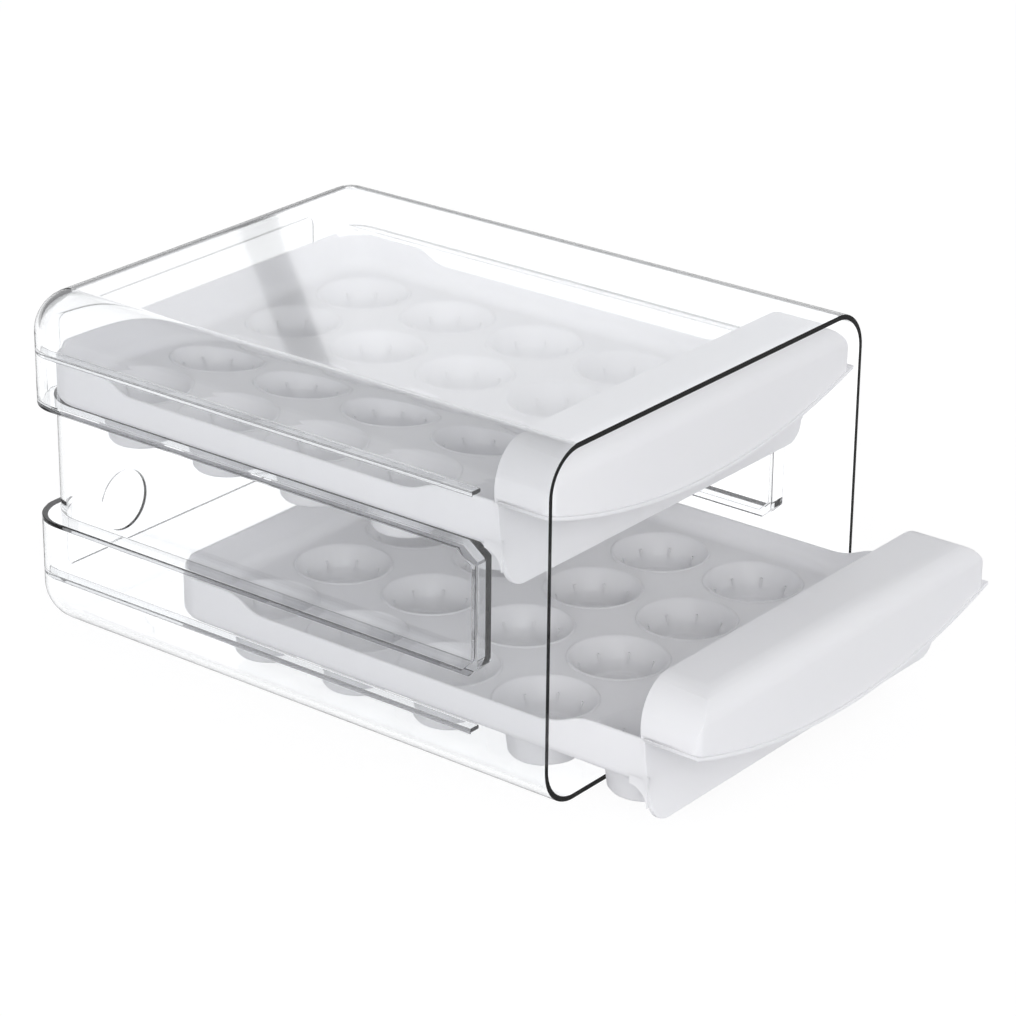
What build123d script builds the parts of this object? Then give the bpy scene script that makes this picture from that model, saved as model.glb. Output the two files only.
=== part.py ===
# Two-drawer egg holder for a refrigerator shelf, in millimetres, +Z up.
# A clear case, open at the front (-Y), carries two identical white drawers.
# The origin is the centre of the case's flat base. The upper drawer is shut
# and the lower one is partly pulled out.
import os

from build123d import *

# Clear case
case_width = 230.0
case_depth = 305.0
case_wall = 2.5
case_corner = 20.0          # the four long edges and the edges round the back wall

# Hand recess in both sides of the case, whose ceiling carries the upper drawer
recess_depth = 9.4
recess_height = 54.9
recess_top_cut = 8.0        # slanted upper front corner
recess_top_slope = 6.0      # height of that slant
recess_low_cut = 5.0        # slanted lower front corner
recess_back_corner = 25.0   # round corner where the recess runs out at the back wall

# Runner ribs inside the side walls
rib_width = 6.0
rib_thick = 2.0
rib_setback = 1.0           # ribs start this far behind the recess front
hold_down_height = 22.5     # free height between a seat and its hold-down

# Sunk panel and round holes in the back wall
panel_side_margin = 27.0
panel_end_margin = 19.0
panel_corner = 4.5
panel_sink = 0.8
hole_radius = 15.0
hole_side = 50.0            # from the middle plane
hole_height = 40.0

# Clearances between a drawer and the case
run_gap = 0.3               # above a seat and below a hold-down rib
side_gap = 2.1
back_gap = 7.5
floor_gap = 4.6             # lower cups above the case's floor
recess_gap = 2.4            # lower wings below the recess floor
crown_gap = 3.1             # crown of the back wall beside the recess
hood_top_gap = 3.9
hood_back_gap = 4.3         # hood in front of the recess

# Drawer body, measured from its sliding face and from the front opening when shut
tray_wall = 1.8
tray_corner = 20.0
tray_foot_cut = 3.0         # slanted lower edge of the side and back walls
tray_foot = 6.5             # width of the solid foot that slides on the seats
deck_height = 4.5
deck_cove = 6.0
rail_height = 15.2          # side wall along the middle of the drawer
shoulder_back = 54.0        # end of the high side wall behind the hood
shoulder_slope = 30.0
wing_length = 35.0          # high rear end of the side wall, held down by the ribs
wing_slope = 24.0
crown_rise = 2.0            # extra height of the back wall between the ribs
crown_slope = 6.0

# Cups
cup_mouth = 22.0
cup_throat = 16.0
cup_base = 14.2
cup_depth = 23.0            # from the deck to the cup's inner floor
cup_throat_drop = 9.5       # from the deck down to the end of the flare
cup_sides = 16              # flat facets round each cup
cup_column_land = 7.5       # flat deck between neighbouring mouths
cup_row_land = 8.5
cup_front_land = 2.8

# Drawer front: a leaning wall with a hollow hood that is pulled by its lower lip
front_wall = 2.2
front_lean = 6.0            # how much further back the wall stands at its top
skirt_back = 27.2
skirt_drop = 17.5
skirt_lean = 4.2            # how far the skirt's ends lean in towards the bottom
skirt_corner = 11.0
hood_inset = 0.4            # hood narrower than the drawer body, each side
hood_wall = 2.0
hood_face = 2.5
hood_top = 45.0
hood_corner = 21.0
hood_round = 11.0
hood_end_round = 4.0
smile_middle = 3.5          # lip height at the middle
smile_end = 21.5            # lip height at the ends
lip_out = 1.2
lip_high = 1.6
gusset_length = 9.0         # where the side wall drops to the skirt

# Position of the lower drawer
lower_pulled_out = 76.0

# Values worked out from the sizes above
front_y = -case_depth / 2
inner_half = case_width / 2 - case_wall
cup_floor = deck_height - cup_depth
cup_throat_height = deck_height - cup_throat_drop
wing_height = hold_down_height - 2 * run_gap

low_rib_top = case_wall + floor_gap + tray_wall - cup_floor - run_gap - run_gap
recess_floor = low_rib_top + run_gap + wing_height + recess_gap + case_wall
recess_ceiling = recess_floor + recess_height
shelf_top = recess_ceiling + case_wall
hold_down_low = shelf_top + hold_down_height
case_height = shelf_top + run_gap + hood_top + hood_top_gap + case_wall
recess_face = case_width / 2 - recess_depth
recess_front = skirt_back + front_lean + hood_back_gap + case_wall

tray_half = inner_half - side_gap
tray_back = case_depth - case_wall - back_gap
wing_front = tray_back - wing_length
crown_half = recess_face - case_wall - crown_gap
hood_half = tray_half - hood_inset

cup_column_pitch = 2 * cup_mouth + cup_column_land
cup_row_pitch = 2 * cup_mouth + cup_row_land
cup_first_row = skirt_back + cup_front_land + cup_mouth
cup_room_across = 2 * (tray_half - tray_wall - deck_cove - cup_mouth)
cup_room_along = tray_back - tray_wall - deck_cove - cup_mouth - cup_first_row
cup_columns = int(cup_room_across // cup_column_pitch) + 1
cup_rows = int(cup_room_along // cup_row_pitch) + 1
grid_middle = cup_first_row + cup_row_pitch * (cup_rows - 1) / 2

os.makedirs("parts", exist_ok=True)


def rounded_block(inset):
    """The case's outer form, or its inside when it is inset by one wall."""
    with BuildPart() as block:
        with BuildSketch(Plane.XZ.offset(-front_y)):
            with Locations((0, case_height / 2)):
                Rectangle(case_width - 2 * inset, case_height - 2 * inset)
        extrude(amount=-(case_depth - inset))
        long_edges = block.edges().filter_by(Axis.Y)
        back_edges = block.faces().sort_by(Axis.Y)[-1].edges()
        fillet(long_edges + back_edges, radius=case_corner - inset)
    return block.part


def recess_blocks(grow):
    """Both hand recesses, round the back corners, grown by one wall for the case's inside."""
    near = front_y + recess_front - grow
    low = recess_floor - grow
    high = recess_ceiling + grow
    face = recess_face - grow
    back = case_depth / 2 - grow
    corner = recess_back_corner - grow
    with BuildPart() as blocks:
        # Side view: slanted corners at the front end
        with BuildSketch(Plane.YZ):
            with BuildLine():
                Polyline(
                    (near, low + recess_low_cut),
                    (near + recess_low_cut, low),
                    (case_depth, low),
                    (case_depth, high),
                    (near + recess_top_cut, high),
                    (near, high - recess_top_slope),
                    close=True,
                )
            make_face()
        extrude(amount=case_width)
        # Plan: straight along the side, then round the corner into the back wall
        with BuildSketch(Plane.XY.offset(low)):
            with BuildLine():
                Line((face, near), (face, back - corner))
                RadiusArc((face, back - corner), (face - corner, back), -corner)
                Line((face - corner, back), (case_width, back))
                Line((case_width, back), (case_width, near))
                Line((case_width, near), (face, near))
            make_face()
        extrude(amount=high - low, mode=Mode.INTERSECT)
        mirror(about=Plane.YZ)
    return blocks.part


def runner_ribs(rib_low):
    """A pair of thin ribs along the side walls, from near the opening to the back wall."""
    with BuildPart() as ribs:
        with BuildSketch(Plane.XY.offset(rib_low)):
            with Locations((inner_half, front_y + recess_front + rib_setback)):
                Rectangle(2 * rib_width, case_depth, align=(Align.CENTER, Align.MIN))
        extrude(amount=rib_thick)
        mirror(about=Plane.YZ)
    return ribs.part


with BuildPart() as case_hollow:
    add(rounded_block(case_wall))
    add(recess_blocks(case_wall), mode=Mode.SUBTRACT)
    add(runner_ribs(low_rib_top - rib_thick), mode=Mode.SUBTRACT)
    add(runner_ribs(hold_down_low), mode=Mode.SUBTRACT)

with BuildPart() as clear_case:
    add(rounded_block(0))
    add(recess_blocks(0), mode=Mode.SUBTRACT)
    add(case_hollow.part, mode=Mode.SUBTRACT)
    with BuildSketch(Plane.XZ.offset(front_y)):
        with Locations((0, case_height / 2)):
            RectangleRounded(
                case_width - 2 * panel_side_margin,
                case_height - 2 * panel_end_margin,
                panel_corner,
            )
    extrude(amount=panel_sink, mode=Mode.SUBTRACT)
    with BuildSketch(Plane.XZ.offset(front_y)):
        with Locations((-hole_side, hole_height), (hole_side, hole_height)):
            Circle(hole_radius)
    extrude(amount=2 * case_wall, mode=Mode.SUBTRACT)
clear_case.part.label = "clear_case"
export_step(clear_case.part, "parts/clear_case.step")


# The drawer is drawn from its sliding face (z = 0) and from the case's opening (y = 0)
def drawer_plan(inset, front):
    """Plan of the drawer body: square in front, with large round corners at the back."""
    half = tray_half - inset
    back = tray_back - inset
    corner = tray_corner - inset
    with BuildSketch() as plan:
        with BuildLine():
            Line((half, front), (half, back - corner))
            RadiusArc((half, back - corner), (half - corner, back), -corner)
            Line((half - corner, back), (0, back))
            Line((0, back), (0, front))
            Line((0, front), (half, front))
        make_face()
        mirror(about=Plane.YZ)
    return plan.sketch


def cup(grow):
    """One many-sided cup, grown by one wall outside: a flared mouth over a tapered well."""
    facet_angle = 360 / cup_sides
    with BuildPart() as form:
        with BuildSketch(Plane.XY.offset(cup_floor - grow)):
            Rectangle(4 * cup_mouth, 4 * cup_mouth)
        extrude(amount=cup_depth + grow)
        for turn in range(cup_sides // 2):
            facet_pair = Plane.XZ.rotated((0, 0, turn * facet_angle))
            with BuildSketch(facet_pair.offset(-2 * cup_mouth)):
                with BuildLine():
                    Polyline(
                        (0, cup_floor - grow),
                        (cup_base + grow, cup_floor - grow),
                        (cup_throat + grow, cup_throat_height),
                        (cup_mouth + grow, deck_height),
                        (0, deck_height),
                        close=True,
                    )
                make_face()
                mirror(about=Plane.YZ)
            extrude(amount=4 * cup_mouth, mode=Mode.INTERSECT)
    return form.part


with BuildPart() as body_outside:
    with BuildSketch():
        add(drawer_plan(0, skirt_back))
    extrude(amount=hood_top)
    foot_edges = body_outside.faces().sort_by(Axis.Z)[0].edges().sort_by(Axis.Y)[1:]
    chamfer(foot_edges, length=tray_foot_cut)
    # Side view: low rails between the raised front and the rear wings
    with BuildSketch(Plane.YZ.offset(-tray_half)):
        with BuildLine():
            Line((0, 0), (0, wing_height))
            Line((0, wing_height), (shoulder_back, wing_height))
            Bezier(
                (shoulder_back, wing_height),
                (shoulder_back + shoulder_slope / 2, wing_height),
                (shoulder_back + shoulder_slope / 2, rail_height),
                (shoulder_back + shoulder_slope, rail_height),
            )
            Line(
                (shoulder_back + shoulder_slope, rail_height),
                (wing_front - wing_slope, rail_height),
            )
            Bezier(
                (wing_front - wing_slope, rail_height),
                (wing_front - wing_slope / 2, rail_height),
                (wing_front - wing_slope / 2, wing_height),
                (wing_front, wing_height),
            )
            Line((wing_front, wing_height), (case_depth, wing_height))
            Line((case_depth, wing_height), (case_depth, 0))
            Line((case_depth, 0), (0, 0))
        make_face()
    extrude(amount=2 * tray_half, mode=Mode.INTERSECT)
    # Crown of the back wall, between the hold-down ribs
    with BuildSketch(Plane.XZ.offset(-tray_back)):
        with BuildLine():
            Polyline(
                (-crown_half, wing_height),
                (-crown_half + crown_slope, wing_height + crown_rise),
                (crown_half - crown_slope, wing_height + crown_rise),
                (crown_half, wing_height),
                close=True,
            )
        make_face()
    extrude(amount=tray_wall)

with BuildPart() as body_inside:
    with BuildSketch(Plane.XY.offset(deck_height)):
        add(drawer_plan(tray_wall, skirt_back))
    extrude(amount=hood_top)
    cove_edges = body_inside.faces().sort_by(Axis.Z)[0].edges().sort_by(Axis.Y)[1:]
    fillet(cove_edges, radius=deck_cove)


def front_prism(inset):
    """Front view of the hood and skirt, drawn out along Y: round top, ends leaning in."""
    half = hood_half - inset
    with BuildPart() as prism:
        with BuildSketch(Plane.XZ):
            with BuildLine():
                Polyline(
                    (-half, hood_top - inset),
                    (half, hood_top - inset),
                    (half, 0),
                    (half - skirt_lean, -skirt_drop),
                    (skirt_lean - half, -skirt_drop),
                    (-half, 0),
                    close=True,
                )
            make_face()
            fillet(vertices().group_by(Axis.Y)[-1], radius=hood_corner - inset)
            fillet(vertices().group_by(Axis.Y)[0], radius=skirt_corner)
        extrude(amount=-2 * skirt_back)
    return prism.part


def wall_face(height):
    """Place of the leaning wall's front face at a height."""
    share = (height + skirt_drop) / (hood_top + skirt_drop)
    return skirt_back - front_wall + front_lean * share


with BuildPart() as hood_outside:
    with BuildSketch(Plane.YZ.offset(-hood_half)):
        with BuildLine():
            Polyline(
                (hood_face, -skirt_drop),
                (hood_face, hood_top),
                (skirt_back + front_lean, hood_top),
                (skirt_back, -skirt_drop),
                close=True,
            )
        make_face()
        fillet(vertices().group_by(Axis.Y)[-1].sort_by(Axis.X)[0], radius=hood_round)
    extrude(amount=2 * hood_half)
    add(front_prism(0), mode=Mode.INTERSECT)
    with BuildSketch(Plane.XY.offset(-skirt_drop)):
        with Locations((0, hood_face)):
            Rectangle(2 * hood_half, 2 * skirt_back, align=(Align.CENTER, Align.MIN))
        fillet(vertices().group_by(Axis.Y)[0], radius=hood_end_round)
    extrude(amount=skirt_drop + hood_top, mode=Mode.INTERSECT)

with BuildPart() as hood_hollow:
    with BuildSketch(Plane.YZ.offset(-hood_half)):
        with BuildLine():
            Polyline(
                (hood_face + hood_wall, -skirt_drop),
                (hood_face + hood_wall, hood_top - hood_wall),
                (wall_face(hood_top - hood_wall), hood_top - hood_wall),
                (wall_face(-skirt_drop), -skirt_drop),
                close=True,
            )
        make_face()
        inner_round = hood_round - hood_wall
        fillet(vertices().group_by(Axis.Y)[-1].sort_by(Axis.X)[0], radius=inner_round)
    extrude(amount=2 * hood_half)
    add(front_prism(hood_wall), mode=Mode.INTERSECT)


def below_smile(rise):
    """Everything in front of the leaning wall and below the hood's curved lower edge."""
    half = hood_half + lip_out
    low = -2 * skirt_drop
    with BuildPart() as below:
        with BuildSketch(Plane.XZ.offset(lip_out)):
            with BuildLine():
                ThreePointArc(
                    (-half, smile_end + rise), (0, smile_middle + rise), (half, smile_end + rise)
                )
                Polyline(
                    (half, smile_end + rise), (half, low), (-half, low), (-half, smile_end + rise)
                )
            make_face()
        extrude(amount=-2 * skirt_back)
        with BuildSketch(Plane.YZ.offset(-half)):
            with BuildLine():
                Polyline(
                    (-lip_out, low),
                    (-lip_out, hood_top),
                    (wall_face(hood_top), hood_top),
                    (wall_face(low), low),
                    close=True,
                )
            make_face()
        extrude(amount=2 * half, mode=Mode.INTERSECT)
    return below.part


with BuildPart() as lip:
    add(below_smile(lip_high))
    add(below_smile(0), mode=Mode.SUBTRACT)
    with BuildSketch(Plane.XY.offset(-skirt_drop)):
        with Locations((0, hood_face - lip_out)):
            lip_half = hood_half + lip_out
            Rectangle(2 * lip_half, 2 * skirt_back, align=(Align.CENTER, Align.MIN))
    extrude(amount=2 * hood_top, mode=Mode.INTERSECT)

with BuildPart() as gussets:
    with BuildSketch(Plane.YZ.offset(tray_half - tray_wall)):
        with BuildLine():
            far = skirt_back + gusset_length
            Polyline((far, 0), (far, deck_height), (wall_face(0), deck_height))
            Line((wall_face(0), deck_height), (wall_face(0), -gusset_length))
            Line((wall_face(0), -gusset_length), (skirt_back, -gusset_length))
            RadiusArc((skirt_back, -gusset_length), (far, 0), gusset_length)
        make_face()
    extrude(amount=tray_wall)
    mirror(about=Plane.YZ)
    add(front_prism(0), mode=Mode.INTERSECT)

cup_outside = cup(tray_wall)
cup_inside = cup(0)

with BuildPart() as drawer:
    add(body_outside.part)
    add(body_inside.part, mode=Mode.SUBTRACT)
    with BuildSketch():
        add(drawer_plan(tray_foot, skirt_back))
    extrude(amount=deck_height - tray_wall, mode=Mode.SUBTRACT)
    with Locations((0, grid_middle, 0)):
        with GridLocations(cup_column_pitch, cup_row_pitch, cup_columns, cup_rows):
            add(cup_outside)
            add(cup_inside, mode=Mode.SUBTRACT)
    add(hood_outside.part)
    add(below_smile(0), mode=Mode.SUBTRACT)
    add(lip.part)
    add(hood_hollow.part, mode=Mode.SUBTRACT)
    add(gussets.part)


def place_drawer(name, seat, pulled_out):
    """The drawer moulding on its seat, drawn forward by a distance, as a node of its own."""
    placed = drawer.part.moved(Location((0, front_y - pulled_out, seat + run_gap)))
    placed.label = name
    export_step(placed, f"parts/{name}.step")
    return placed


upper_drawer = place_drawer("upper_drawer", shelf_top, 0)
lower_drawer = place_drawer("lower_drawer", low_rib_top, lower_pulled_out)
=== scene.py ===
# Looks of a two-drawer egg holder for a refrigerator shelf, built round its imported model.
# It is a clear case with two white drawers. Forms are drawn in millimetres, and become
# objects in metres.
import math

import bmesh
import bpy
from mathutils import Matrix, Vector


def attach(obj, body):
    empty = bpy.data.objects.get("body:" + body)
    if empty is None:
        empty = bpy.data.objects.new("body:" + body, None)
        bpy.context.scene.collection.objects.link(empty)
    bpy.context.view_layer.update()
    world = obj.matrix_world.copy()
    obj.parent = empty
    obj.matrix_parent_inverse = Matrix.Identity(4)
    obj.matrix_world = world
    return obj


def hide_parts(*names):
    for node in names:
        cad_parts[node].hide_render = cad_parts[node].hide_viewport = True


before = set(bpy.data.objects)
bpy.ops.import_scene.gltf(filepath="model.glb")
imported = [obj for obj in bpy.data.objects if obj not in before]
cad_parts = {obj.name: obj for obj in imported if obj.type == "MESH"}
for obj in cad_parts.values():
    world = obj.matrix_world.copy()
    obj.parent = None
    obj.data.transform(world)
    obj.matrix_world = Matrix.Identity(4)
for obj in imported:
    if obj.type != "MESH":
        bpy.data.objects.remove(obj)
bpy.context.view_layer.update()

# Shader nodes
# Materials and the world are built up node by node, with arithmetic on their sockets.


class Value:
    """A socket in a shader, with arithmetic on it."""

    def __init__(self, finish, socket):
        self.finish = finish
        self.socket = socket

    def maths(self, operation, first, second):
        return self.finish.node("ShaderNodeMath", {"operation": operation}, {0: first, 1: second})

    def __add__(self, other):
        return self.maths("ADD", self, other)

    def __radd__(self, other):
        return self.maths("ADD", other, self)

    def __sub__(self, other):
        return self.maths("SUBTRACT", self, other)

    def __rsub__(self, other):
        return self.maths("SUBTRACT", other, self)

    def __mul__(self, other):
        return self.maths("MULTIPLY", self, other)

    def __rmul__(self, other):
        return self.maths("MULTIPLY", other, self)

    def __truediv__(self, other):
        return self.maths("DIVIDE", self, other)

    def __gt__(self, other):
        return self.maths("GREATER_THAN", self, other)

    def __lt__(self, other):
        return self.maths("LESS_THAN", self, other)

    def __abs__(self):
        return self.maths("ABSOLUTE", self, 0.0)


class Finish:
    """The shader of a material or of the world."""

    def __init__(self, owner):
        self.owner = owner
        owner.use_nodes = True
        self.tree = owner.node_tree
        self.tree.nodes.clear()

    def node(self, kind, settings=None, inputs=None, output=0):
        made = self.tree.nodes.new(kind)
        for name, setting in (settings or {}).items():
            setattr(made, name, setting)
        for name, source in (inputs or {}).items():
            if isinstance(source, Value):
                self.tree.links.new(source.socket, made.inputs[name])
            else:
                made.inputs[name].default_value = source
        return Value(self, made.outputs[output])

    def light_path(self, ray):
        return self.node("ShaderNodeLightPath", output=ray)

    def either(self, first, second):
        return self.node("ShaderNodeMath", {"operation": "MAXIMUM"}, {0: first, 1: second})

    def mix(self, share, first, second):
        return self.node("ShaderNodeMixShader", {}, {0: share, 1: first, 2: second})

    def noise(self, scale, detail):
        place = self.node("ShaderNodeTexCoord", output="Object")
        look = {"Vector": place, "Scale": scale, "Detail": detail}
        return self.node("ShaderNodeTexNoise", {}, look)

    def bump(self, height, strength, distance):
        look = {"Height": height, "Strength": strength, "Distance": distance}
        return self.node("ShaderNodeBump", {}, look)

    def finish(self, surface, volume=None):
        kind = "World" if isinstance(self.owner, bpy.types.World) else "Material"
        end = self.tree.nodes.new("ShaderNodeOutput" + kind)
        self.tree.links.new(surface.socket, end.inputs["Surface"])
        if volume:
            self.tree.links.new(volume.socket, end.inputs["Volume"])
        return self.owner


def new_material(name):
    return Finish(bpy.data.materials.new(name))


# Forms
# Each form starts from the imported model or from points, and its sharp edges can be rounded.
MILLIMETRE = 0.001
PACKED_GAP = 0.002
FORM_GAP = 0.004
FLAT_ANGLE = math.radians(0.5)
SMOOTH_ANGLE = math.radians(33)
SHARP_ANGLE = math.radians(40)


def packed_form(node):
    """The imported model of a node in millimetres, with its doubled points merged."""
    form = bmesh.new()
    form.from_mesh(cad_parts[node].data)
    bmesh.ops.scale(form, vec=(1000, 1000, 1000), verts=form.verts[:])
    bmesh.ops.remove_doubles(form, verts=form.verts[:], dist=PACKED_GAP)
    return form


def dissolve_flats(form):
    """Makes each flat face of a form one whole face."""
    bmesh.ops.dissolve_limit(
        form, angle_limit=FLAT_ANGLE, verts=form.verts[:], edges=form.edges[:]
    )


def close_and_orient(form):
    """Merges doubles and turns every face outwards."""
    bmesh.ops.remove_doubles(form, verts=form.verts[:], dist=FORM_GAP)
    bmesh.ops.recalc_face_normals(form, faces=form.faces[:])


def round_edges(form, width, limit_y):
    """Rounds the sharp edges of a form that lie in front of a limit, in millimetres."""
    sharp = []
    for edge in form.edges:
        middle = (edge.verts[0].co + edge.verts[1].co) / 2
        if edge.calc_face_angle(0) > SHARP_ANGLE and middle.y < limit_y:
            sharp.append(edge)
    bmesh.ops.bevel(
        form, geom=sharp, offset=width, offset_type="OFFSET", segments=2, profile=0.5,
        affect="EDGES", clamp_overlap=False,
    )


def as_object(name, form, material=None):
    """Turns a form in millimetres into an object in metres, smooth across shallow edges."""
    bmesh.ops.scale(form, vec=[MILLIMETRE] * 3, verts=form.verts[:])
    mesh = bpy.data.meshes.new(name)
    form.to_mesh(mesh)
    form.free()
    if material:
        mesh.materials.append(material)
    mesh.shade_smooth()
    mesh.set_sharp_from_angle(angle=SMOOTH_ANGLE)
    made = bpy.data.objects.new(name, mesh)
    bpy.context.scene.collection.objects.link(made)
    return made


def final_mesh(made):
    """An object's mesh as its modifiers leave it."""
    bpy.context.view_layer.update()
    depsgraph = bpy.context.evaluated_depsgraph_get()
    return bpy.data.meshes.new_from_object(made.evaluated_get(depsgraph))


def even_mesh(made):
    """An object's mesh with its flat faces shaded flat beside rounded ones."""
    even = made.modifiers.new("even", "WEIGHTED_NORMAL")
    even.keep_sharp = True
    return final_mesh(made)


# Clear case
# One open-fronted moulding of polished clear styrene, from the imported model, with its sharp
# edges rounded. The 2.5 mm walls darken where light runs along them, at rim, ribs and recess.
# The edges of the sunk back panel lie behind the limit and stay sharp.
CASE_EDGE = 0.4
BACK_PANEL_Y = 151.0
clear = new_material("clear_plastic")
handling_haze = clear.noise(38.0, 4.0)
sink_waves = clear.noise(9.0, 1.0)
clear_body = clear.node(
    "ShaderNodeBsdfPrincipled",
    {},
    {
        "Base Color": (0.985, 0.99, 0.995, 1),
        "Roughness": 0.015 + 0.03 * handling_haze,
        "IOR": 1.5,
        "Transmission Weight": 1.0,
        "Normal": clear.bump(sink_waves, 0.05, 0.002),
    },
)
clear_pass = clear.node("ShaderNodeBsdfTransparent", {}, {"Color": (0.985, 0.985, 0.985, 1)})
unseen = clear.either(clear.light_path("Is Shadow Ray"), clear.light_path("Is Diffuse Ray"))
clear_depth = clear.node(
    "ShaderNodeVolumeAbsorption", {}, {"Color": (0.36, 0.38, 0.41, 1), "Density": 18.0}
)
clear_plastic = clear.finish(clear.mix(unseen, clear_body, clear_pass), clear_depth)

case_form = packed_form("clear_case")
dissolve_flats(case_form)
round_edges(case_form, CASE_EDGE, BACK_PANEL_Y)
case = as_object("clear_case_moulding", case_form, clear_plastic)
case_mesh = even_mesh(case)
case.modifiers.clear()
case.data = case_mesh
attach(case, "case")
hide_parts("clear_case")

# Drawer fronts
# The leaning front wall and its hollow hood are part of each white drawer moulding. Their
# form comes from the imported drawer, cut off at the wall's rear face, with softened edges.
# A drawer's own place is measured from its sliding face and the case's opening.
OPENING_Y = -152.5
UPPER_SEAT = 111.6
LOWER_SEAT = 27.1
LOWER_PULL = 76.0
WALL_FOOT_Y = 27.2
WALL_FOOT_Z = -17.5
WALL_LEAN = 6.0 / 62.5
CUT_DEPTH = 0.05
DRAWER_EDGE = 0.4
EDGE_LIMIT_Y = WALL_FOOT_Y - 1.2


def wall_back(z):
    """How far back the cut at the leaning wall's rear face is at a height."""
    return WALL_FOOT_Y + WALL_LEAN * (z - WALL_FOOT_Z) - CUT_DEPTH


def drawer_front():
    """The hood and front wall in the drawer's own place."""
    front = packed_form("upper_drawer")
    bmesh.ops.translate(front, vec=(0, -OPENING_Y, -UPPER_SEAT), verts=front.verts[:])
    cut = bmesh.ops.bisect_plane(
        front,
        geom=front.verts[:] + front.edges[:] + front.faces[:],
        plane_co=(0, wall_back(0), 0),
        plane_no=(0, 1, -WALL_LEAN),
        clear_outer=True,
    )
    rim = [piece for piece in cut["geom_cut"] if isinstance(piece, bmesh.types.BMEdge)]
    bmesh.ops.edgenet_fill(front, edges=rim)
    dissolve_flats(front)
    close_and_orient(front)
    round_edges(front, DRAWER_EDGE, EDGE_LIMIT_Y)
    return front


# Drawer body
# The tray behind the front: low side rails that rise to a shoulder in front and to wings at
# the back, a back wall with a slightly higher crown, and a thin deck, all moulded in one.
SIDE_X = 110.4
BACK_Y = 295.0
PLAN_CORNER = 20.0
CORNER_Y = BACK_Y - PLAN_CORNER
CORNER_X = SIDE_X - PLAN_CORNER
CORNER_STEPS = 16
WALL = 1.8
DECK_TOP = 4.5
DECK_UNDER = 2.7
COVE = 6.0
WING_TOP = 21.9
RAIL_TOP = 15.2
CROWN_TOP = 23.9
CROWN_X = 100.0
CROWN_SLOPE = 6.0
TRAY_START = 30
SHOULDER_END = 54.0
RAIL_START = 84.0
RAIL_END = 236.0
WING_START = 260.0
FOOT_ROUND = 5
FOOT_REACH = 6.5


def rail_top(x, y):
    """Height of the tray wall's top edge at a place on its plan."""
    if y > BACK_Y - 0.5:
        crown_share = min(1.0, max(0.0, (CROWN_X - abs(x)) / CROWN_SLOPE))
        return WING_TOP + (CROWN_TOP - WING_TOP) * crown_share
    if y <= SHOULDER_END or y >= WING_START:
        return WING_TOP
    if RAIL_START <= y <= RAIL_END:
        return RAIL_TOP
    if y < RAIL_START:
        along = (y - SHOULDER_END) / (RAIL_START - SHOULDER_END)
    else:
        along = (WING_START - y) / (WING_START - RAIL_END)
    return WING_TOP + (RAIL_TOP - WING_TOP) * bezier_share(along)


def bezier_share(along):
    """Share of the drop reached at a share of the slope's length, on its S-shaped curve."""
    low, high = 0.0, 1.0
    for _ in range(30):
        t = (low + high) / 2
        if 1.5 * t * (1 - t) + t**3 < along:
            low = t
        else:
            high = t
    return 3 * t**2 * (1 - t) + t**3


def tray_stations():
    """Points along the outer plan line from the front left round to the front right."""
    stations = []
    side = set(range(TRAY_START, int(CORNER_Y), 3))
    side.update((SHOULDER_END, RAIL_START, RAIL_END, WING_START, CORNER_Y))
    for y in sorted(side):
        stations.append((-SIDE_X, float(y), 1.0, 0.0))
    for step in range(1, CORNER_STEPS):
        turn = math.radians(90 * step / CORNER_STEPS)
        x = -SIDE_X + PLAN_CORNER * (1 - math.cos(turn))
        y = BACK_Y - PLAN_CORNER * (1 - math.sin(turn))
        stations.append((x, y, math.cos(turn), -math.sin(turn)))
    back = [-CORNER_X] + [10.0 * k for k in range(-9, 10)] + [CORNER_X]
    stations += [(x, BACK_Y, 0.0, -1.0) for x in back]
    right = [(-x, y, -nx, ny) for x, y, nx, ny in reversed(stations) if y < BACK_Y]
    return stations + right


def tray_section(top):
    """Section of the tray wall as (distance in from the outer line, height) points."""
    points = []
    for step in range(9):
        turn = math.radians(90 * step / 8)
        depth = WALL + COVE - COVE * math.sin(turn)
        points.append((depth, DECK_TOP + COVE - COVE * math.cos(turn)))
    half = WALL / 2
    for step in range(7):
        turn = math.radians(180 * step / 6)
        points.append((half + half * math.cos(turn), top - half + half * math.sin(turn)))
    for step in range(7):
        turn = math.radians(90 * step / 6)
        depth = FOOT_ROUND - FOOT_ROUND * math.cos(turn)
        points.append((depth, FOOT_ROUND - FOOT_ROUND * math.sin(turn)))
    points.append((FOOT_REACH, 0))
    points.append((FOOT_REACH, DECK_UNDER))
    return points


COLUMNS = 4
ROWS = 5
COLUMN_PITCH = 51.5
ROW_PITCH = 52.5
FIRST_ROW_Y = 52.0
MIDDLE_ROW_Y = 157.0
TOP_HOLE = 22.8
UNDER_HOLE = 23.6
ROUND_STEPS = 64
CUP_CENTRES = [
    (COLUMN_PITCH * (column - 1.5), FIRST_ROW_Y + ROW_PITCH * row)
    for row in range(ROWS)
    for column in range(COLUMNS)
]


def fill_deck(tray, outline, height, hole):
    """Fills the deck plane inside an outline, with a round hole for each cup."""
    edges = [tray.edges.get((a, b)) or tray.edges.new((a, b)) for a, b in outline]
    for x, y in CUP_CENTRES:
        ring = []
        for step in range(ROUND_STEPS):
            turn = 2 * math.pi * step / ROUND_STEPS
            place = (x + hole * math.cos(turn), y + hole * math.sin(turn), height)
            ring.append(tray.verts.new(place))
        edges += [tray.edges.new((ring[k], ring[k - 1])) for k in range(ROUND_STEPS)]
    bmesh.ops.triangle_fill(tray, use_beauty=True, use_dissolve=False, edges=edges)


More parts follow.
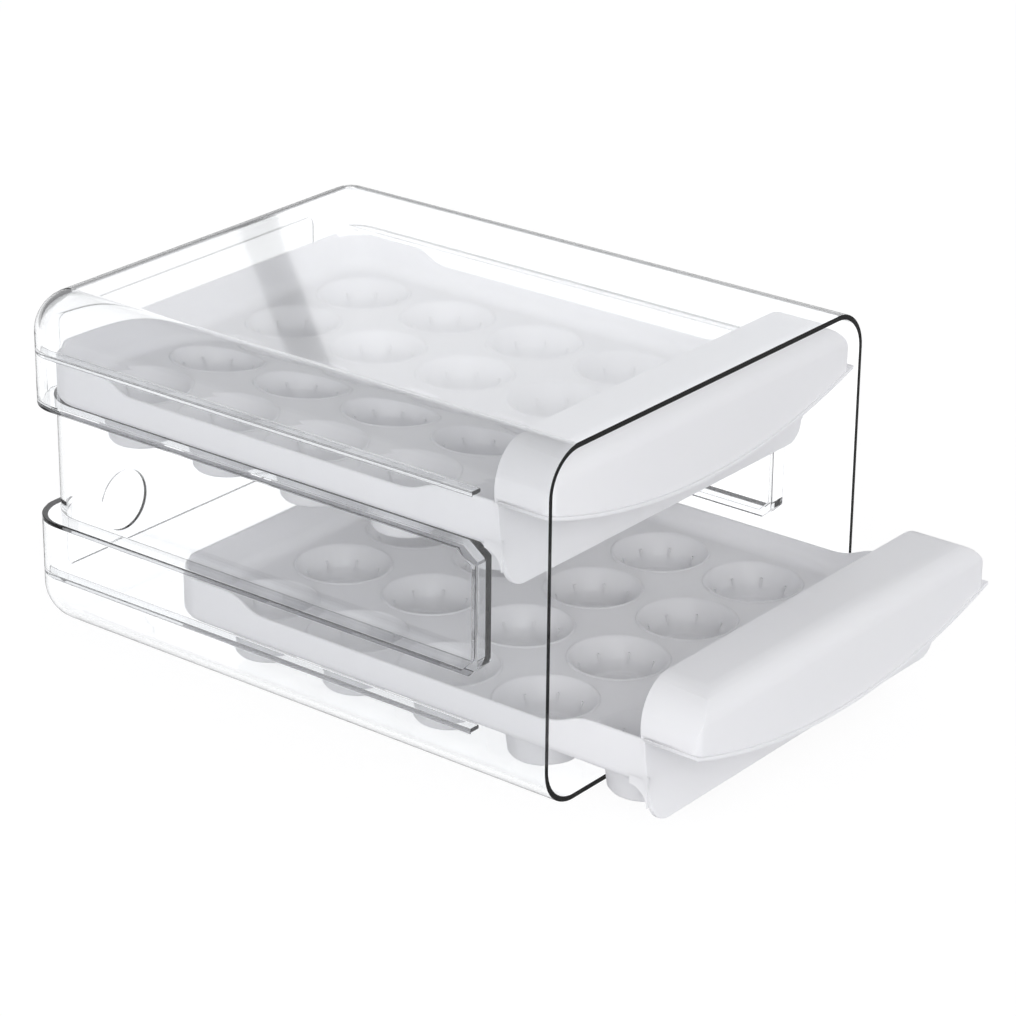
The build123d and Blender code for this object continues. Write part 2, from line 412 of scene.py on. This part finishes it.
def tray_body():
    """Tray walls and deck behind the front wall, in the drawer's own place."""
    tray = bmesh.new()
    rows = []
    for x, y, in_x, in_y in tray_stations():
        row = []
        for depth, z in tray_section(rail_top(x, y)):
            place_y = wall_back(z) if y <= TRAY_START else y + in_y * depth
            row.append(tray.verts.new((x + in_x * depth, place_y, z)))
        rows.append(row)
    for near, far in zip(rows, rows[1:]):
        for k in range(len(near) - 1):
            tray.faces.new((near[k], near[k + 1], far[k + 1], far[k]))
    for place, height, hole in ((0, DECK_TOP, TOP_HOLE), (-1, DECK_UNDER, UNDER_HOLE)):
        line = [row[place] for row in rows]
        outline = list(zip(line, line[1:])) + [(line[-1], line[0])]
        fill_deck(tray, outline, height, hole)
    close_and_orient(tray)
    return tray


GUSSET = 9.0
GUSSET_END = WALL_FOOT_Y + GUSSET
GUSSET_START = WALL_FOOT_Y - 0.3
GUSSET_TOP = 5.3
GUSSET_INSET = 0.15
GUSSET_SIDES = (SIDE_X - WALL + GUSSET_INSET, SIDE_X - GUSSET_INSET)


def side_gussets():
    """The two concave webs in which the side walls run down to the foot of the front wall."""
    webs = bmesh.new()
    outline = [(GUSSET_START, GUSSET_TOP), (GUSSET_END, GUSSET_TOP)]
    for step in range(9):
        turn = math.radians(90 * step / 8)
        outline.append((GUSSET_END - GUSSET * math.sin(turn), GUSSET * (math.cos(turn) - 1)))
    outline.append((GUSSET_START, -GUSSET))
    for side in (-1, 1):
        rings = [[webs.verts.new((side * x, y, z)) for y, z in outline] for x in GUSSET_SIDES]
        webs.faces.new(rings[0])
        webs.faces.new(rings[1])
        for k in range(len(outline)):
            webs.faces.new((rings[0][k - 1], rings[0][k], rings[1][k], rings[1][k - 1]))
    close_and_orient(webs)
    return webs


# Cups
# Twenty round cups stand in each deck. Each has a bright rounded rim, a flared mouth, a
# tapered well with a narrow step and a flat floor, and eight small fins on the flare's foot.
# Points are (distance from the cup's axis, height over the sliding face), and the fins are
# set out from there by their shift.
CUP_PROFILE = [
    (23.5, 4.2), (23.2, 4.7), (22.7, 5.0), (22.2, 4.95), (21.7, 4.5), (20.9, 3.4),
    (18.4, -0.8), (16.9, -3.8), (16.4, -5.4), (16.2, -9.9), (15.9, -10.5), (14.9, -10.8),
    (14.5, -11.3), (14.2, -16.6), (13.3, -17.8), (11.9, -18.4), (0.0, -18.5), (0.0, -20.3),
    (13.4, -20.3), (15.0, -19.8), (15.9, -18.6), (17.5, -6.5), (18.3, -4.4), (22.9, 2.6),
]
FINS = 8
FIN_HALF = 0.6
FIN_EDGE = 0.2
FIN_SHIFT = 1.0
FIN_OUTLINE = [
    (16.3, -1.2), (19.0, -1.2), (18.4, -2.8), (16.9, -6.8), (15.6, -6.8), (15.4, -5.6),
]


def spun_cup():
    """One cup as a closed turned form about the Z axis."""
    cup = bmesh.new()
    line = [cup.verts.new((r, 0, z)) for r, z in CUP_PROFILE]
    edges = [cup.edges.new((line[k], line[(k + 1) % len(line)])) for k in range(len(line))]
    bmesh.ops.spin(
        cup, geom=line + edges, cent=(0, 0, 0), axis=(0, 0, 1), angle=2 * math.pi,
        steps=ROUND_STEPS, use_merge=True,
    )
    close_and_orient(cup)
    return cup


def cup_fin():
    """One small upright fin that starts in the flare and ends in the well."""
    fin = bmesh.new()
    sides = [
        [fin.verts.new((r, side, z)) for r, z in FIN_OUTLINE] for side in (-FIN_HALF, FIN_HALF)
    ]
    count = len(FIN_OUTLINE)
    fin.faces.new(sides[0])
    fin.faces.new(sides[1])
    for k in range(count):
        n = (k + 1) % count
        fin.faces.new((sides[0][k], sides[0][n], sides[1][n], sides[1][k]))
    close_and_orient(fin)
    bmesh.ops.bevel(
        fin, geom=fin.edges[:], offset=FIN_EDGE, segments=1, affect="EDGES", profile=0.5
    )
    return fin


def cup_grid(cup, fin, material):
    """Repeats a finned cup over the deck with Geometry Nodes, and returns the plain mesh."""
    tree = bpy.data.node_groups.new("cup_grid", "GeometryNodeTree")
    starts = {}
    for name, kind, start in (
        ("Column Pitch", "NodeSocketFloat", COLUMN_PITCH * MILLIMETRE),
        ("Row Pitch", "NodeSocketFloat", ROW_PITCH * MILLIMETRE),
        ("Columns", "NodeSocketInt", COLUMNS),
        ("Rows", "NodeSocketInt", ROWS),
        ("Middle Row", "NodeSocketFloat", MIDDLE_ROW_Y * MILLIMETRE),
        ("Fins", "NodeSocketInt", FINS),
    ):
        socket = tree.interface.new_socket(name, in_out="INPUT", socket_type=kind)
        starts[socket.identifier] = start
    tree.interface.new_socket("Geometry", in_out="OUTPUT", socket_type="NodeSocketGeometry")

    def add(kind, settings=None, inputs=None):
        made = tree.nodes.new(kind)
        for key, setting in (settings or {}).items():
            setattr(made, key, setting)
        for key, source in (inputs or {}).items():
            if isinstance(source, bpy.types.NodeSocket):
                tree.links.new(source, made.inputs[key])
            else:
                made.inputs[key].default_value = source
        return made.outputs

    def maths(operation, first, second):
        return add("ShaderNodeMath", {"operation": operation}, {0: first, 1: second})[0]

    def stand(points, thing, rotation=(0, 0, 0)):
        """Stands a thing on each point."""
        given_form = {"Points": points, "Instance": thing, "Rotation": rotation}
        return add("GeometryNodeInstanceOnPoints", {}, given_form)[0]

    def form_of(made):
        return add("GeometryNodeObjectInfo", {"transform_space": "ORIGINAL"}, {"Object": made})

    given = add("NodeGroupInput")
    cup_form = form_of(cup)["Geometry"]
    fin_form = form_of(fin)["Geometry"]
    circle = {"Vertices": given["Fins"], "Radius": FIN_SHIFT * MILLIMETRE}
    ring = add("GeometryNodeMeshCircle", {}, circle)[0]
    number = add("GeometryNodeInputIndex")[0]
    part_turn = maths("DIVIDE", 2 * math.pi, given["Fins"])
    turn = maths("MULTIPLY", maths("ADD", number, 0.5), part_turn)
    angles = add("ShaderNodeCombineXYZ", {}, {"Z": turn})[0]
    fins = stand(ring, fin_form, angles)
    one_cup = tree.nodes.new("GeometryNodeJoinGeometry")
    tree.links.new(cup_form, one_cup.inputs[0])
    tree.links.new(fins, one_cup.inputs[0])

    def span(count, pitch):
        return maths("MULTIPLY", maths("SUBTRACT", given[count], 1.0), given[pitch])

    grid = add(
        "GeometryNodeMeshGrid",
        {},
        {
            "Size X": span("Columns", "Column Pitch"),
            "Size Y": span("Rows", "Row Pitch"),
            "Vertices X": given["Columns"],
            "Vertices Y": given["Rows"],
        },
    )[0]
    middle = add("ShaderNodeCombineXYZ", {}, {"Y": given["Middle Row"]})[0]
    placed = add("GeometryNodeSetPosition", {}, {"Geometry": grid, "Offset": middle})[0]
    cups = stand(placed, one_cup.outputs[0])
    real = add("GeometryNodeRealizeInstances", {}, {"Geometry": cups})[0]
    painted = add("GeometryNodeSetMaterial", {}, {"Geometry": real, "Material": material})[0]
    end = tree.nodes.new("NodeGroupOutput")
    tree.links.new(painted, end.inputs[0])

    holder = bpy.data.objects.new("cup_holder", bpy.data.meshes.new("cup_holder"))
    bpy.context.scene.collection.objects.link(holder)
    modifier = holder.modifiers.new("cups", "NODES")
    modifier.node_group = tree
    for identifier, start in starts.items():
        modifier[identifier] = start
    mesh = final_mesh(holder)
    for spare in (holder, cup, fin):
        bpy.data.objects.remove(spare)
    return mesh


# White drawer plastic
# Satin polystyrene, slightly cool, with a faint grain from the mould and soft flow marks.
# Its thin walls let some of the light through.
THROUGH_SHARE = 0.3
white = new_material("white_plastic")
flow_marks = white.noise(14.0, 3.0)
mould_grain = white.noise(900.0, 2.0)
white_tint = white.node(
    "ShaderNodeMix",
    {"data_type": "RGBA"},
    {"Factor": flow_marks, "A": (0.90, 0.90, 0.92, 1), "B": (0.925, 0.925, 0.935, 1)},
    output="Result",
)
white_body = white.node(
    "ShaderNodeBsdfPrincipled",
    {},
    {
        "Base Color": white_tint,
        "Roughness": 0.34 + 0.1 * mould_grain,
        "IOR": 1.5,
        "Subsurface Weight": 0.12,
        "Subsurface Radius": (0.004, 0.004, 0.0045),
        "Subsurface Scale": 1.0,
        "Normal": white.bump(mould_grain, 0.06, 0.0002),
    },
)
white_through = white.node("ShaderNodeBsdfTranslucent", {}, {"Color": (0.97, 0.97, 0.98, 1)})
white_plastic = white.finish(white.mix(THROUGH_SHARE, white_body, white_through))

# Drawers
# Front, tray, gussets and cups are one moulding, so they are one piece, and both drawers are
# alike. The upper one is shut, and the lower one stands 76 mm out.
front_object = as_object("front_form", drawer_front(), white_plastic)
front_mesh = even_mesh(front_object)
tray_object = as_object("tray_form", tray_body(), white_plastic)
gusset_object = as_object("gusset_form", side_gussets(), white_plastic)
cup_mesh = cup_grid(as_object("cup", spun_cup()), as_object("fin", cup_fin()), white_plastic)
drawer_parts = (front_mesh, tray_object.data, gusset_object.data, cup_mesh)


def whole_drawer(name, seat, pulled_out):
    """Joins the moulding's forms and stands them on their seat as one piece."""
    joined = bmesh.new()
    for part in drawer_parts:
        joined.from_mesh(part)
    shift = (0, (OPENING_Y - pulled_out) * MILLIMETRE, seat * MILLIMETRE)
    bmesh.ops.translate(joined, vec=shift, verts=joined.verts[:])
    mesh = bpy.data.meshes.new(name)
    joined.to_mesh(mesh)
    joined.free()
    mesh.materials.append(white_plastic)
    mesh.set_sharp_from_angle(angle=SMOOTH_ANGLE)
    drawer = bpy.data.objects.new(name, mesh)
    bpy.context.scene.collection.objects.link(drawer)
    return drawer


for level, seat, pull in (("upper", UPPER_SEAT, 0.0), ("lower", LOWER_SEAT, LOWER_PULL)):
    drawer = whole_drawer(f"{level}_drawer_moulding", seat, pull)
    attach(drawer, f"{level}_tier")
    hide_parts(f"{level}_drawer")
for spare in (front_object, tray_object, gusset_object):
    bpy.data.objects.remove(spare)

# Floor
# A pale floor with a faint shadow. It glows evenly for the camera, and seen through or
# mirrored in the clear case it falls off to the room's dark side.
CAMERA_AZIMUTH = math.radians(-50.798)
DARK_SIDE = 0.3
FLOOR_GLOW = 1.06
GLOW_SHARE = 0.86
BRIGHT_RADIUS = 0.75
DARK_RADIUS = 1.2
FLOOR_HALF = 9000.0
FLOOR_Z = -0.0002
floor_form = bmesh.new()
bmesh.ops.create_grid(floor_form, x_segments=1, y_segments=1, size=FLOOR_HALF)
room = new_material("pale_floor")
from_camera = room.light_path("Is Camera Ray")
from_glass = room.light_path("Is Transmission Ray")
from_gloss = room.light_path("Is Glossy Ray")
floor_place = room.node("ShaderNodeTexCoord", output="Object")
distance = room.node(
    "ShaderNodeVectorMath", {"operation": "LENGTH"}, {0: floor_place}, output="Value"
)
near = room.node(
    "ShaderNodeMapRange",
    {"interpolation_type": "SMOOTHSTEP"},
    {
        "Value": distance,
        "From Min": BRIGHT_RADIUS,
        "From Max": DARK_RADIUS,
        "To Min": 1.0,
        "To Max": 0.0,
    },
)
floor_paint = room.node("ShaderNodeBsdfDiffuse", {}, {"Color": (0.86, 0.86, 0.87, 1)})
through_glass = DARK_SIDE + (FLOOR_GLOW - DARK_SIDE) * near
brightness = FLOOR_GLOW * from_camera + from_glass * through_glass + DARK_SIDE * from_gloss
floor_glow = room.node(
    "ShaderNodeEmission", {}, {"Color": (1, 1, 1, 1), "Strength": brightness}
)
seen = room.either(room.either(from_camera, from_gloss), from_glass)
floor_finish = room.finish(room.mix(seen * GLOW_SHARE, floor_paint, floor_glow))
floor = as_object("floor", floor_form, floor_finish)
floor.location.z = FLOOR_Z

# Room light
# The room is a light tent: bright walls and a darker ceiling. What mirrors in the clear case
# or shows through it is a dark room with two white panels behind the holder, which a narrow
# slanted dark gap parts. One large soft lamp stands at the left front.
CEILING_LIGHT = 0.32
WALL_LIGHT = 1.4
LEFT_PANEL = 1.1
RIGHT_PANEL_MORE = 0.4
PANEL_AHEAD = 0.3
PANEL_HEIGHT = (0.4, 0.2)
PANEL_WIDTH = (0.03, 0.23)
GAP_SLANT = 0.324
GAP_SHIFT = 0.1649
GAP_HALF = 0.006
LAMP_PLACE = (-1.1, -1.0, 0.62)
LAMP_AIM = (0, 0, 0.08)
LAMP_SIZE = 0.7
LAMP_POWER = 7.0
sky = Finish(bpy.data.worlds.new("room"))
bpy.context.scene.world = sky.owner


def heading(axis):
    """One part of the direction that a ray leaves in."""
    course = sky.node("ShaderNodeTexCoord", output="Generated")
    return sky.node("ShaderNodeSeparateXYZ", {}, {"Vector": course}, output=axis)


east, north, rise = heading("X"), heading("Y"), heading("Z")
ahead = -math.sin(CAMERA_AZIMUTH) * east + math.cos(CAMERA_AZIMUTH) * north
aside = math.cos(CAMERA_AZIMUTH) * east + math.sin(CAMERA_AZIMUTH) * north
slope_aside = aside / ahead
slope_up = rise / ahead
from_gap = slope_aside - GAP_SLANT * slope_up + GAP_SHIFT
in_height = abs(slope_up - PANEL_HEIGHT[0]) < PANEL_HEIGHT[1]
in_width = abs(slope_aside - PANEL_WIDTH[0]) < PANEL_WIDTH[1]
panels = (ahead > PANEL_AHEAD) * in_height * in_width * (abs(from_gap) > GAP_HALF)
panel_glow = LEFT_PANEL + RIGHT_PANEL_MORE * (from_gap > 0.0)
mirrored = DARK_SIDE + panels * (panel_glow - DARK_SIDE)
even_light = CEILING_LIGHT + WALL_LIGHT * (1.0 - abs(rise))
sharp_ray = sky.either(sky.light_path("Is Glossy Ray"), sky.light_path("Is Transmission Ray"))
room_light = even_light + sharp_ray * (mirrored - even_light)
sky.finish(
    sky.node(
        "ShaderNodeBackground", {}, {"Color": (0.98, 0.985, 1.0, 1), "Strength": room_light}
    )
)

lamp = bpy.data.lights.new("left_front", "AREA")
lamp.shape = "SQUARE"
lamp.size = LAMP_SIZE
lamp.energy = LAMP_POWER
left_front = bpy.data.objects.new("left_front", lamp)
left_front.location = LAMP_PLACE
toward_holder = Vector(LAMP_AIM) - left_front.location
left_front.rotation_euler = toward_holder.to_track_quat("-Z", "Y").to_euler()
bpy.context.scene.collection.objects.link(left_front)

# Camera
# It stands at the photograph's place, with the photograph's length of view and its centre
# off the middle, as in a cropped picture.
CAMERA_ELEVATION = math.radians(22.793)
CAMERA_ROLL = math.radians(0.159)
CAMERA_AIM = (0, -0.0025, 0.080)
CAMERA_DISTANCE = 1.638757
PICTURE = 1016.0
FOCAL_PIXELS = 3584.0
CENTRE_PIXEL = (441.083, 469.359)
SENSOR = 36.0
back = Vector(
    (
        math.sin(CAMERA_AZIMUTH) * math.cos(CAMERA_ELEVATION),
        -math.cos(CAMERA_AZIMUTH) * math.cos(CAMERA_ELEVATION),
        math.sin(CAMERA_ELEVATION),
    )
)
level_right = Vector((math.cos(CAMERA_AZIMUTH), math.sin(CAMERA_AZIMUTH), 0))
level_up = back.cross(level_right)
right = level_right * math.cos(CAMERA_ROLL) + level_up * math.sin(CAMERA_ROLL)
up = level_up * math.cos(CAMERA_ROLL) - level_right * math.sin(CAMERA_ROLL)
eye = Vector(CAMERA_AIM) + back * CAMERA_DISTANCE
lens = bpy.data.cameras.new("camera")
lens.sensor_width = SENSOR
lens.lens = FOCAL_PIXELS / PICTURE * SENSOR
lens.shift_x = (PICTURE / 2 - CENTRE_PIXEL[0]) / PICTURE
lens.shift_y = (CENTRE_PIXEL[1] - PICTURE / 2) / PICTURE
lens.clip_start = 0.05
lens.clip_end = 60.0
camera = bpy.data.objects.new("camera", lens)
camera.matrix_world = Matrix(
    (
        (right.x, up.x, back.x, eye.x),
        (right.y, up.y, back.y, eye.y),
        (right.z, up.z, back.z, eye.z),
        (0, 0, 0, 1),
    )
)
bpy.context.scene.collection.objects.link(camera)
bpy.context.scene.camera = camera
bpy.context.scene.view_settings.view_transform = "Standard"
